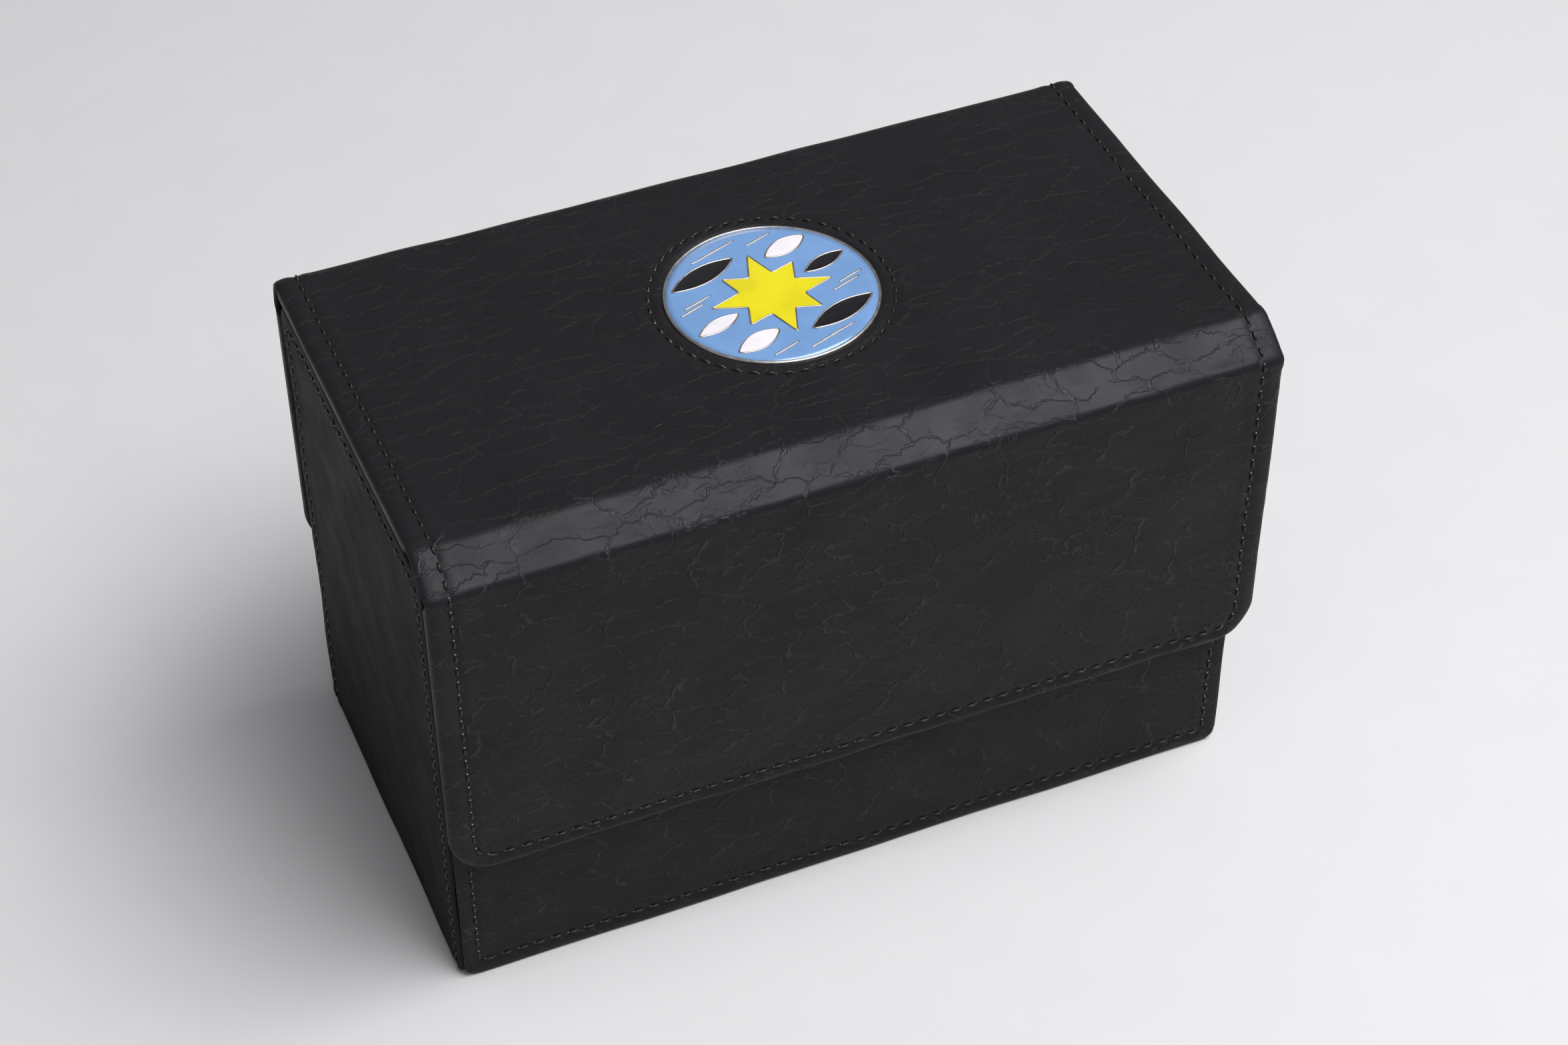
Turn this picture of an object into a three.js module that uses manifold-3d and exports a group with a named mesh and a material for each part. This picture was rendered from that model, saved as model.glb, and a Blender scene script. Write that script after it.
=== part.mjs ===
// Card deck box: a flip-top box of board panels covered in black synthetic leather.
//
// Millimetres, +Z up. The long side runs along X and the flap closes the front, towards -Y.
// The origin is under the centre of the cover, on the surface that the box stands on.
//
// An open box of five sewn panels is wrapped by a one-piece cover: a back panel glued to the
// box, a soft back strip, the lid, a soft front strip and the front flap. Each rigid panel is
// a board core in a leather tray with turned edges, closed by a cloth lining on the inside.
// The cover folds along the creases on both sides of each strip.

import * as THREE from 'three';
import { mergeVertices } from 'three/addons/utils/BufferGeometryUtils.js';
import Module from 'manifold-3d';

const wasm = await Module();
wasm.setup();

// ---- Driving dimensions ----

const BODY_WIDTH = 160;
const BODY_DEPTH = 82.5;
const LID_TOP = 106;
const SIDE_WALL_TOP = 102.5;
const FRONT_WALL_TOP = 101.2;
const FLAP_BOTTOM = 32;
const BACK_COVER_BOTTOM = 39;
const COVER_OVERHANG = 1.5;

const LEATHER = 0.8;
const LINING = 0.6;
const WALL_THICKNESS = 3.0;
const COVER_THICKNESS = 3.2;
const TURNED_EDGE = 1.0;
const LINING_INSET = 1.0;

// The cover is sewn a little off centre. Its front strip leans, and its back strip is a tight fold.
const BODY_OFFSET = -1.15;
const STRIP_THICKNESS = 1.2;
const FRONT_STRIP = { name: 'front_strip', direction: -1, run: 8.2, drop: 5.0 };
const BACK_STRIP = { name: 'back_strip', direction: 1, run: 1.8, drop: 5.5 };

const WALL_CORNER_RADIUS = 3;
const COVER_CORNER_RADIUS = 8.5;

const CLEARANCE = 0.3;
const SEAM_GAP = 0.15;
const PLY_GAP = 0.05;

const THREAD_WIDTH = 0.6;
const THREAD_HEIGHT = 0.25;
const THREAD_LIFT = 0.02;
const THREAD_END_GAP = 0.5;
const THREAD_CORNER_RADIUS = 1.2;
const WALL_STITCH_INSET = 3.3;
const COVER_STITCH_INSET = 4;

const MAGNET_RADIUS = 6;
const MAGNET_THICKNESS = 1.2;
const MAGNET_X = 40;
const MAGNET_Z = 48;
const MAGNET_CLEARANCE = 0.15;

const MEDALLION_RADIUS = 20;
const MEDALLION_X = 1.1;
const MEDALLION_THICKNESS = 2;
const MEDALLION_PROUD = 0.3;
const MEDALLION_SEAT_CLEARANCE = 0.2;
const MEDALLION_STITCH_RADIUS = 22.6;
const ENAMEL_FIELD_RADIUS = 19.4;
const ENAMEL_POCKET = 0.35;
const ENAMEL_THICKNESS = 0.25;
const ENAMEL_FIT = 0.05;
const FENCE = 0.35;
const STAR_LONG_POINT = 12;
const STAR_SHORT_POINT = 10;
const STAR_VALLEY = 6;
const SLASH_ANGLE = THREE.MathUtils.degToRad(20);

const DIVIDER_CORE = 1.6;
const DIVIDER_FACE = 0.45;
const DIVIDER_HEIGHT = 94;
const DIVIDER_END_CLEARANCE = 0.65;

// ---- Sizes that follow ----

const WALL_Y = BODY_DEPTH / 2;
const COVER_Y = WALL_Y + CLEARANCE + COVER_THICKNESS;
const COVER_WIDTH = BODY_WIDTH + 2 * COVER_OVERHANG;
const LID_FRONT = -(COVER_Y - FRONT_STRIP.run - SEAM_GAP);
const LID_BACK = COVER_Y - BACK_STRIP.run - SEAM_GAP;
const LID_DEPTH = LID_BACK - LID_FRONT;
const LID_Y = (LID_FRONT + LID_BACK) / 2;
const INNER_WIDTH = BODY_WIDTH - 2 * WALL_THICKNESS;
const INNER_DEPTH = BODY_DEPTH - 2 * WALL_THICKNESS;
const COVER_STITCH_X = COVER_WIDTH / 2 - COVER_STITCH_INSET;

// ---- Materials ----

const finish = (color, roughness, metalness = 0) =>
  new THREE.MeshStandardMaterial({ color, roughness, metalness });

const MATERIALS = {
  leather: finish(0x2a2a2d, 0.55),
  strip: finish(0x36343a, 0.5),
  board: finish(0x8c857a, 0.95),
  lining: finish(0x1c1c1f, 0.95),
  thread: finish(0x141416, 0.6),
  magnet: finish(0xb4b6ba, 0.3, 1),
  metal: finish(0xc8c6c6, 0.25, 1),
  blue: finish(0x78a0d2, 0.15),
  yellow: finish(0xe8d81e, 0.15),
  black: finish(0x0c0c0e, 0.12),
  white: finish(0xe8e4e8, 0.15),
};

const deckBox = new THREE.Group();
const openBox = new THREE.Group();
openBox.position.x = BODY_OFFSET;
deckBox.add(openBox);

function addMesh(parent, name, geometry, material) {
  const mesh = new THREE.Mesh(geometry, MATERIALS[material]);
  mesh.name = name;
  parent.add(mesh);
}

// ---- Solids and outlines ----

function toManifold(geometry) {
  const bare = geometry.clone();
  bare.deleteAttribute('normal');
  bare.deleteAttribute('uv');
  const merged = mergeVertices(bare, 1e-5);
  return new wasm.Manifold(new wasm.Mesh({
    numProp: 3,
    vertProperties: new Float32Array(merged.attributes.position.array),
    triVerts: new Uint32Array(merged.index.array),
  }));
}

function cut(geometry, tools) {
  const solid = tools.reduce((rest, tool) => rest.subtract(toManifold(tool)), toManifold(geometry));
  const { vertProperties, triVerts } = solid.getMesh();
  const result = new THREE.BufferGeometry();
  result.setAttribute('position', new THREE.BufferAttribute(vertProperties, 3));
  result.setIndex(new THREE.BufferAttribute(triVerts, 1));
  return result;
}

// A plate of the given outline between two heights.
function plate(outline, low, high, curveSegments = 8) {
  const options = { depth: high - low, bevelEnabled: false, curveSegments };
  return new THREE.ExtrudeGeometry(outline, options).translate(0, 0, low);
}

function disc(radius, x = 0, y = 0) {
  return new THREE.Shape().absarc(x, y, radius, 0, 2 * Math.PI, false);
}

// A centred rectangle whose lower and upper corners may be rounded.
function panelOutline(width, height, lowerRadius = 0, upperRadius = 0) {
  const outline = new THREE.Shape();
  const corners = [[-1, -1, lowerRadius], [1, -1, lowerRadius], [1, 1, upperRadius], [-1, 1, upperRadius]];
  corners.forEach(([sideX, sideY, radius], index) => {
    const x = sideX * (width / 2 - radius);
    const y = sideY * (height / 2 - radius);
    const start = Math.PI + (index * Math.PI) / 2;
    if (radius > 0) outline.absarc(x, y, radius, start, start + Math.PI / 2, false);
    else if (index > 0) outline.lineTo(x, y);
    else outline.moveTo(x, y);
  });
  return outline;
}

// A thread row down one side, along the lower edge and up the other side.
function threeSidedRow(width, top, bottom, radius) {
  const outer = width / 2;
  const inner = outer - THREAD_WIDTH;
  const arcX = outer - radius;
  const arcY = bottom + radius;
  return new THREE.Shape()
    .moveTo(-outer, top)
    .absarc(-arcX, arcY, radius, Math.PI, 1.5 * Math.PI, false)
    .absarc(arcX, arcY, radius, -0.5 * Math.PI, 0, false)
    .lineTo(outer, top)
    .lineTo(inner, top)
    .absarc(arcX, arcY, radius - THREAD_WIDTH, 0, -0.5 * Math.PI, true)
    .absarc(-arcX, arcY, radius - THREAD_WIDTH, 1.5 * Math.PI, Math.PI, true)
    .lineTo(-inner, top);
}

// ---- Sewn panels ----

// The wedge that a 45 degree mitre takes off the left or right edge of a panel.
function mitreWedge(width, side) {
  const size = 20;
  const reach = size / 2 / Math.SQRT2;
  return new THREE.BoxGeometry(size, 3 * LID_TOP, size)
    .rotateY(Math.PI / 4)
    .translate(side * (width / 2 - SEAM_GAP + reach), 0, -reach);
}

// A panel lies in its own XY plane, with its outer face at z = 0 and facing +Z, until its
// group is tilted about X and turned about Z into place.
function sewnPanel(name, spec) {
  const { width, height, thickness, radius = 0, upperRadius = 0, mitred = false } = spec;
  const { seat = null, magnets = [], parent = openBox } = spec;
  const group = new THREE.Group();
  group.position.set(...spec.centre);
  group.rotation.set(spec.tilt ?? 0, 0, spec.turn ?? 0, 'ZXY');
  parent.add(group);

  const outline = (inset) => {
    const sideInset = inset > 0 && mitred ? inset + thickness : inset;
    const rounding = [radius, upperRadius].map((r) => Math.max(r - inset, 0));
    return panelOutline(width - 2 * sideInset, height - 2 * inset, ...rounding);
  };
  const trayDepth = thickness - LINING;

  const face = outline(0);
  if (seat) face.holes.push(disc(seat.radius, seat.x));
  const trayCuts = [plate(outline(TURNED_EDGE), -thickness, -LEATHER)];
  if (mitred) trayCuts.push(mitreWedge(width, -1), mitreWedge(width, 1));
  addMesh(group, `${name}_leather`, cut(plate(face, -trayDepth, 0, 16), trayCuts), 'leather');

  const core = outline(TURNED_EDGE + PLY_GAP);
  magnets.forEach(({ x, y }) => core.holes.push(disc(MAGNET_RADIUS + MAGNET_CLEARANCE, x, y)));
  const board = plate(core, -trayDepth, -LEATHER - PLY_GAP);
  const recess = seat ? [plate(disc(seat.radius, seat.x), -seat.depth, 0, 16)] : [];
  addMesh(group, `${name}_board`, cut(board, recess), 'board');

  const lining = plate(outline(LINING_INSET), -thickness, -trayDepth - PLY_GAP);
  addMesh(group, `${name}_lining`, lining, 'lining');

  magnets.forEach(({ side, x, y }) => {
    const magnet = new THREE.CylinderGeometry(MAGNET_RADIUS, MAGNET_RADIUS, MAGNET_THICKNESS, 32)
      .rotateX(Math.PI / 2)
      .translate(x, y, -LEATHER - 2 * PLY_GAP - MAGNET_THICKNESS / 2);
    addMesh(group, `${name}_${side}_magnet`, magnet, 'magnet');
  });
  return group;
}

function addThread(panel, name, row, curveSegments = 6) {
  const thread = plate(row, THREAD_LIFT, THREAD_LIFT + THREAD_HEIGHT, curveSegments);
  addMesh(panel, name, thread, 'thread');
}

const magnetPair = (panelCentreZ) => [
  { side: 'left', x: -MAGNET_X, y: MAGNET_Z - panelCentreZ },
  { side: 'right', x: MAGNET_X, y: MAGNET_Z - panelCentreZ },
];

// ---- The open box ----

function addFrontAndBackWalls() {
  const wall = {
    width: BODY_WIDTH,
    height: FRONT_WALL_TOP,
    thickness: WALL_THICKNESS,
    radius: WALL_CORNER_RADIUS,
    mitred: true,
    tilt: Math.PI / 2,
  };
  const middle = FRONT_WALL_TOP / 2;
  const rowWidth = BODY_WIDTH - 2 * WALL_STITCH_INSET;
  const row = (topZ) =>
    threeSidedRow(rowWidth, topZ - middle, WALL_STITCH_INSET - middle, THREAD_CORNER_RADIUS);

  const front = sewnPanel('front_wall',
    { ...wall, centre: [0, -WALL_Y, middle], magnets: magnetPair(middle) });
  addThread(front, 'front_wall_thread', row(FRONT_WALL_TOP - THREAD_END_GAP));

  const back = sewnPanel('back_wall', { ...wall, centre: [0, WALL_Y, middle], turn: Math.PI });
  addThread(back, 'back_wall_thread', row(BACK_COVER_BOTTOM - THREAD_END_GAP));
}

// The side walls stand higher than the other two and carry the lid. Their upper corners are
// rounded under the strips, and their thread runs up both sides and along the upper edge.
function addSideWalls() {
  const middle = SIDE_WALL_TOP / 2;
  for (const [side, sign] of [['left', -1], ['right', 1]]) {
    const wall = sewnPanel(`${side}_wall`, {
      width: BODY_DEPTH,
      height: SIDE_WALL_TOP,
      thickness: WALL_THICKNESS,
      radius: WALL_CORNER_RADIUS,
      upperRadius: WALL_CORNER_RADIUS,
      mitred: true,
      tilt: Math.PI / 2,
      turn: sign * Math.PI / 2,
      centre: [sign * BODY_WIDTH / 2, 0, middle],
    });
    const upsideDown = new THREE.Group();
    upsideDown.rotation.z = Math.PI;
    wall.add(upsideDown);
    const rowWidth = BODY_DEPTH - 2 * WALL_STITCH_INSET;
    const rowEnd = middle - WALL_STITCH_INSET;
    addThread(upsideDown, `${side}_wall_thread`,
      threeSidedRow(rowWidth, rowEnd, -rowEnd, THREAD_CORNER_RADIUS));
  }
}

function addBase() {
  sewnPanel('base', {
    width: INNER_WIDTH - 2 * SEAM_GAP,
    height: INNER_DEPTH - 2 * SEAM_GAP,
    thickness: WALL_THICKNESS,
    tilt: Math.PI,
    centre: [0, 0, 0],
  });
}

// ---- The cover ----

function addLid() {
  const seat = {
    x: MEDALLION_X,
    radius: MEDALLION_RADIUS + MEDALLION_SEAT_CLEARANCE,
    depth: MEDALLION_THICKNESS - MEDALLION_PROUD + PLY_GAP,
  };
  const lid = sewnPanel('lid', {
    width: COVER_WIDTH,
    height: LID_DEPTH,
    thickness: COVER_THICKNESS,
    seat,
    parent: deckBox,
    centre: [0, LID_Y, LID_TOP],
  });
  for (const [side, sign] of [['left', -1], ['right', 1]]) {
    const row = new THREE.Group();
    row.position.x = sign * COVER_STITCH_X;
    lid.add(row);
    addThread(row, `lid_${side}_thread`, panelOutline(THREAD_WIDTH, LID_DEPTH - 2 * THREAD_END_GAP));
  }
  const ring = disc(MEDALLION_STITCH_RADIUS + THREAD_WIDTH / 2, MEDALLION_X);
  ring.holes.push(disc(MEDALLION_STITCH_RADIUS - THREAD_WIDTH / 2, MEDALLION_X));
  addThread(lid, 'medallion_thread', ring, 32);
}

// The flap hangs in front of the box, and the back cover panel is glued to the back.
function addCoverSide(name, strip, bottom, placement) {
  const height = LID_TOP - strip.drop - SEAM_GAP - bottom;
  const middle = bottom + height / 2;
  const panel = sewnPanel(name, {
    width: COVER_WIDTH,
    height,
    thickness: COVER_THICKNESS,
    radius: COVER_CORNER_RADIUS,
    parent: deckBox,
    tilt: Math.PI / 2,
    ...placement(middle),
  });
  const row = threeSidedRow(2 * COVER_STITCH_X, height / 2 - THREAD_END_GAP,
    WALL_STITCH_INSET - height / 2, COVER_CORNER_RADIUS - COVER_STITCH_INSET);
  addThread(panel, `${name}_thread`, row);
}

// A section through a strip at right angles to X, between two distances above its outer face.
// It is cut upright beside the lid and level above the flap or back cover panel.
function stripSection({ direction, run, drop }, low, high, endGap) {
  const slope = Math.atan2(drop, run);
  const lidEnd = COVER_Y - run + endGap;
  const sideEnd = LID_TOP - drop + endGap;
  const heightAtLid = (offset) => LID_TOP + (offset - endGap * Math.sin(slope)) / Math.cos(slope);
  const reachAtSide = (offset) =>
    COVER_Y - run + (offset + (LID_TOP - sideEnd) * Math.cos(slope)) / Math.sin(slope);
  return new THREE.Shape([
    new THREE.Vector2(direction * lidEnd, heightAtLid(high)),
    new THREE.Vector2(direction * reachAtSide(high), sideEnd),
    new THREE.Vector2(direction * reachAtSide(low), sideEnd),
    new THREE.Vector2(direction * lidEnd, heightAtLid(low)),
  ]);
}

function alongX(section, from, to) {
  const [x, y, z] = [[1, 0, 0], [0, 1, 0], [0, 0, 1]].map((axis) => new THREE.Vector3(...axis));
  return plate(section, from, to).applyMatrix4(new THREE.Matrix4().makeBasis(y, z, x));
}

function addStrips() {
  for (const strip of [FRONT_STRIP, BACK_STRIP]) {
    const leather = stripSection(strip, -STRIP_THICKNESS, 0, SEAM_GAP);
    const halfWidth = COVER_WIDTH / 2;
    addMesh(deckBox, `${strip.name}_leather`, alongX(leather, -halfWidth, halfWidth), 'strip');
    const thread = stripSection(strip, THREAD_LIFT, THREAD_LIFT + THREAD_HEIGHT, THREAD_END_GAP);
    for (const [side, sign] of [['left', -1], ['right', 1]]) {
      const middle = sign * COVER_STITCH_X;
      const row = alongX(thread, middle - THREAD_WIDTH / 2, middle + THREAD_WIDTH / 2);
      addMesh(deckBox, `${strip.name}_${side}_thread`, row, 'thread');
    }
  }
}

// ---- The medallion ----

// An eight-pointed star. Growing it moves its points out twice as far as its valleys.
function starOutline(grow) {
  const radii = [STAR_LONG_POINT + 2 * grow, STAR_VALLEY + grow, STAR_SHORT_POINT + 2 * grow,
    STAR_VALLEY + grow];
  const points = Array.from({ length: 16 }, (_, index) => {
    const angle = (index * Math.PI) / 8;
    const radius = radii[index % 4];
    return new THREE.Vector2(radius * Math.cos(angle), radius * Math.sin(angle));
  });
  return new THREE.Shape(points);
}

// A slash is a spindle with two pointed ends, bounded by two parabolas.
function slashOutline({ x, y, length, width }, grow) {
  const steps = 8;
  const halfLength = length / 2 + 2 * grow;
  const halfWidth = width / 2 + grow;
  const centre = new THREE.Vector2(x, y);
  const origin = new THREE.Vector2();
  const points = Array.from({ length: 2 * steps }, (_, index) => {
    const t = index < steps ? index / steps : 2 - index / steps;
    const bow = 4 * t * (1 - t) * halfWidth * (index < steps ? -1 : 1);
    return new THREE.Vector2((2 * t - 1) * halfLength, bow)
      .rotateAround(origin, SLASH_ANGLE)
      .add(centre);
  });
  return new THREE.Shape(points);
}

function addMedallion() {
  const slashes = [
    { x: -9.8, y: 9.7, length: 15.2, width: 4.6, colour: 'black' },
    { x: -12.4, y: -4.9, length: 9.8, width: 3.2, colour: 'white' },
    { x: 7.4, y: 11.8, length: 10, width: 4.2, colour: 'white' },
  ];
  const opposite = [slashes[0], slashes[2], slashes[1]]
    .map((slash) => ({ ...slash, x: -slash.x, y: -slash.y }));
  opposite[2].colour = 'black';
  const allSlashes = [...slashes, ...opposite];

  const group = new THREE.Group();
  group.position.set(MEDALLION_X, LID_Y, LID_TOP + MEDALLION_PROUD);
  deckBox.add(group);

  const fieldOutline = (grow) => {
    const field = disc(ENAMEL_FIELD_RADIUS + grow);
    field.holes.push(starOutline(FENCE - grow));
    allSlashes.forEach((slash) => field.holes.push(slashOutline(slash, FENCE - grow)));
    return field;
  };
  const pocket = (outline) => plate(outline, -ENAMEL_POCKET, ENAMEL_POCKET, 24);
  const enamel = (outline) =>
    plate(outline, -ENAMEL_POCKET + PLY_GAP, -ENAMEL_POCKET + PLY_GAP + ENAMEL_THICKNESS, 24);

  const coin = new THREE.CylinderGeometry(MEDALLION_RADIUS, MEDALLION_RADIUS, MEDALLION_THICKNESS, 64)
    .rotateX(Math.PI / 2)
    .translate(0, 0, -MEDALLION_THICKNESS / 2);
  const pockets = [fieldOutline(0), starOutline(0), ...allSlashes.map((s) => slashOutline(s, 0))];
  addMesh(group, 'medallion_coin', cut(coin, pockets.map(pocket)), 'metal');
  addMesh(group, 'enamel_field', enamel(fieldOutline(-ENAMEL_FIT)), 'blue');
  addMesh(group, 'enamel_star', enamel(starOutline(-ENAMEL_FIT)), 'yellow');
  allSlashes.forEach((slash, index) => {
    addMesh(group, `enamel_slash_${index + 1}`, enamel(slashOutline(slash, -ENAMEL_FIT)), slash.colour);
  });
}

// ---- The loose divider between the two card compartments ----

function addDivider() {
  const depth = INNER_DEPTH - 2 * DIVIDER_END_CLEARANCE;
  const divider = new THREE.Group();
  divider.position.z = WALL_THICKNESS + CLEARANCE + DIVIDER_HEIGHT / 2;
  openBox.add(divider);
  const sheet = (thickness, x) =>
    new THREE.BoxGeometry(thickness, depth, DIVIDER_HEIGHT).translate(x, 0, 0);
  const faceX = DIVIDER_CORE / 2 + PLY_GAP + DIVIDER_FACE / 2;
  addMesh(divider, 'divider_board', sheet(DIVIDER_CORE, 0), 'board');
  addMesh(divider, 'divider_left_face', sheet(DIVIDER_FACE, -faceX), 'lining');
  addMesh(divider, 'divider_right_face', sheet(DIVIDER_FACE, faceX), 'lining');
}

addFrontAndBackWalls();
addSideWalls();
addBase();
addLid();
addStrips();
addCoverSide('flap', FRONT_STRIP, FLAP_BOTTOM,
  (middle) => ({ centre: [0, -COVER_Y, middle], magnets: magnetPair(middle) }));
addCoverSide('back_cover', BACK_STRIP, BACK_COVER_BOTTOM,
  (middle) => ({ centre: [0, COVER_Y, middle], turn: Math.PI }));
addMedallion();
addDivider();

export default deckBox;
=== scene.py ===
import math

import bpy
import numpy as np
from mathutils import Euler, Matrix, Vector


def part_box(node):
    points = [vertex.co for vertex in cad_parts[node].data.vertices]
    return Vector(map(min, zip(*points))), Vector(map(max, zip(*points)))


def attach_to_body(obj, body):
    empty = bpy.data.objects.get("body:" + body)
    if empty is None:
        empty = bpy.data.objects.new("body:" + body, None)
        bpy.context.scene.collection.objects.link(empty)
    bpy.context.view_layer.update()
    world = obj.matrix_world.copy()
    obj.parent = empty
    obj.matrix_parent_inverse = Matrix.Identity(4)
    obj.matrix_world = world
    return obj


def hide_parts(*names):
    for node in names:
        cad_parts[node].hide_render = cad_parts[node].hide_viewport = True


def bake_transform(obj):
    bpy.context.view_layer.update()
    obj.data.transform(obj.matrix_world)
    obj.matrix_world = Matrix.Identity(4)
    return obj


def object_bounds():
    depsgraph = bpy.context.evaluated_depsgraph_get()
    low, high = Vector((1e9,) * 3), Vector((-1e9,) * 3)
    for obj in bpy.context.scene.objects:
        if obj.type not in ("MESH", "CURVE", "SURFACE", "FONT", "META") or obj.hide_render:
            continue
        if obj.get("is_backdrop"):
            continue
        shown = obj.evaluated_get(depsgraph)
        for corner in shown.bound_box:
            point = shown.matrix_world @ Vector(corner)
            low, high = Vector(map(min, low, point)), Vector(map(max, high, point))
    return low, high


# Card deck box in black stitched synthetic leather. Lengths in this file are in millimetres, in the
# frame of the CAD model, and become metres where a mesh is made.

MM = 0.001
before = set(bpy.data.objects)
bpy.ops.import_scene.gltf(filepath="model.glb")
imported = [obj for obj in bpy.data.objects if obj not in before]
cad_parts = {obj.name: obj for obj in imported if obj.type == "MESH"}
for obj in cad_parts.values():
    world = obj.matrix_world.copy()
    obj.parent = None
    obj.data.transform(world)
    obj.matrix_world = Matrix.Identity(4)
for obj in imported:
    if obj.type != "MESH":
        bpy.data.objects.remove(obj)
cad_low, cad_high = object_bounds()


def node_box(name):
    """The CAD node's lowest and highest corner, in millimetres."""
    low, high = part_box(name)
    return np.array(low) / MM, np.array(high) / MM


# ---- Sizes ----

COVER = 3.0  # thickness of a stiff cover panel
STRIP = 1.2  # thickness of the soft strips
WALL = 2.8  # thickness of a wall
LINING_SUNK = 0.15  # how far a lining's cloth runs into its panel
CREASE_GAP = 0.15  # from a panel's edge to the crease line

lid_low, lid_high = node_box("lid_leather")
flap_low, flap_high = node_box("flap_leather")
back_low, back_high = node_box("back_cover_leather")
front_wall_low, front_wall_high = node_box("front_wall_leather")
left_wall_low, left_wall_high = node_box("left_wall_leather")
base_low, base_high = node_box("base_leather")
coin_low, coin_high = node_box("medallion_coin")
divider_low, divider_high = node_box("divider_board")

HALF_WIDTH = lid_high[0]
COVER_Y = back_high[1]
LID_TOP = lid_high[2]
BACK_CREASE_Z = back_high[2] + CREASE_GAP
LID_BACK_Y = lid_high[1] + CREASE_GAP
LID_FRONT_Y = lid_low[1] - CREASE_GAP
FRONT_CREASE_Z = flap_high[2] + CREASE_GAP
WALL_Y = -front_wall_low[1]
BODY_X = (front_wall_low[0] + front_wall_high[0]) / 2
WALL_X = BODY_X - left_wall_low[0]
FRONT_WALL_TOP = front_wall_high[2]
SIDE_WALL_TOP = left_wall_high[2]
COIN = (coin_low + coin_high) / 2
COIN_RADIUS = (coin_high[0] - coin_low[0]) / 2

STITCH_PITCH = 3.3
STITCH_LENGTH = 2.5
STITCH_POINTS = 7  # points along one stitch
THREAD_RADIUS = 0.27
THREAD_SIDES = 8
WALL_STITCH = 3.6  # from a wall's edge to its row
COVER_STITCH = 4.3  # from the cover's side edges to its row
COVER_END_STITCH = 3.6
RING_RADIUS = 22.6
RING_STITCHES = 46
CORNER_RADIUS = 8.5  # of the flap and of the back panel


# ---- Numeric helpers ----

def smooth(x, start, end):
    """A smooth step from 0 at start to 1 at end."""
    t = np.clip((x - start) / (end - start), 0, 1)
    return t * t * (3 - 2 * t)


WAVE_COUNT = 9


def waves(u, v, period, seed, stretch=1.0):
    """A smooth random field of about unit height: waves near one period, stretched along u."""
    random = np.random.default_rng(seed)
    total = np.zeros(np.shape(u))
    for _ in range(WAVE_COUNT):
        angle, phase = random.uniform(0, 2 * math.pi, 2)
        length = period * random.uniform(0.7, 1.5)
        along = math.cos(angle) * u / stretch + math.sin(angle) * v
        total = total + np.sin(2 * math.pi * along / length + phase)
    return total * math.sqrt(2 / WAVE_COUNT)


def hump(x, middle, width):
    """A smooth hump of height 1 about middle."""
    return np.exp(-((x - middle) / width) ** 2)


FINE_STEP = 0.32
FINE_HALF = 1.3


def positions(low, high, step, fine=()):
    """Positions from low to high, one step apart, closer together around each fine position."""
    marks = {low, high}
    for centre in fine:
        marks |= {float(np.clip(centre + side * FINE_HALF, low, high)) for side in (-1, 1)}
    marks = sorted(marks)
    rows = [np.array([low])]
    for a, b in zip(marks, marks[1:]):
        if b - a > 1e-6:
            near = any(abs((a + b) / 2 - centre) < FINE_HALF for centre in fine)
            count = max(1, round((b - a) / (FINE_STEP if near else step)))
            rows.append(np.linspace(a, b, count + 1)[1:])
    return np.concatenate(rows)


# ---- Meshes ----

def make_object(name, vertices, faces, material, uv=None, normals=None):
    """A mesh object from points in millimetres. uv is one pair for each vertex, in millimetres."""
    mesh = bpy.data.meshes.new(name)
    mesh.from_pydata((np.asarray(vertices) * MM).tolist(), [], faces)
    mesh.materials.append(material)
    if uv is not None:
        layer = mesh.uv_layers.new(name="UVMap")
        index = np.zeros(len(mesh.loops), np.int32)
        mesh.loops.foreach_get("vertex_index", index)
        layer.data.foreach_set("uv", (np.asarray(uv)[index] * MM).astype(np.float32).ravel())
    mesh.shade_smooth()
    if normals is not None:
        mesh.normals_split_custom_set_from_vertices(np.asarray(normals).tolist())
    obj = bpy.data.objects.new(name, mesh)
    bpy.context.scene.collection.objects.link(obj)
    return obj


def vertex_normals(points, quads):
    """Area-weighted vertex normals of a mesh of quads."""
    corners = points[quads]
    face = np.cross(corners[:, 2] - corners[:, 0], corners[:, 3] - corners[:, 1])
    normals = np.zeros_like(points)
    for k in range(4):
        np.add.at(normals, quads[:, k], face)
    return normals / np.maximum(np.linalg.norm(normals, axis=1), 1e-12)[:, None]


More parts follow.
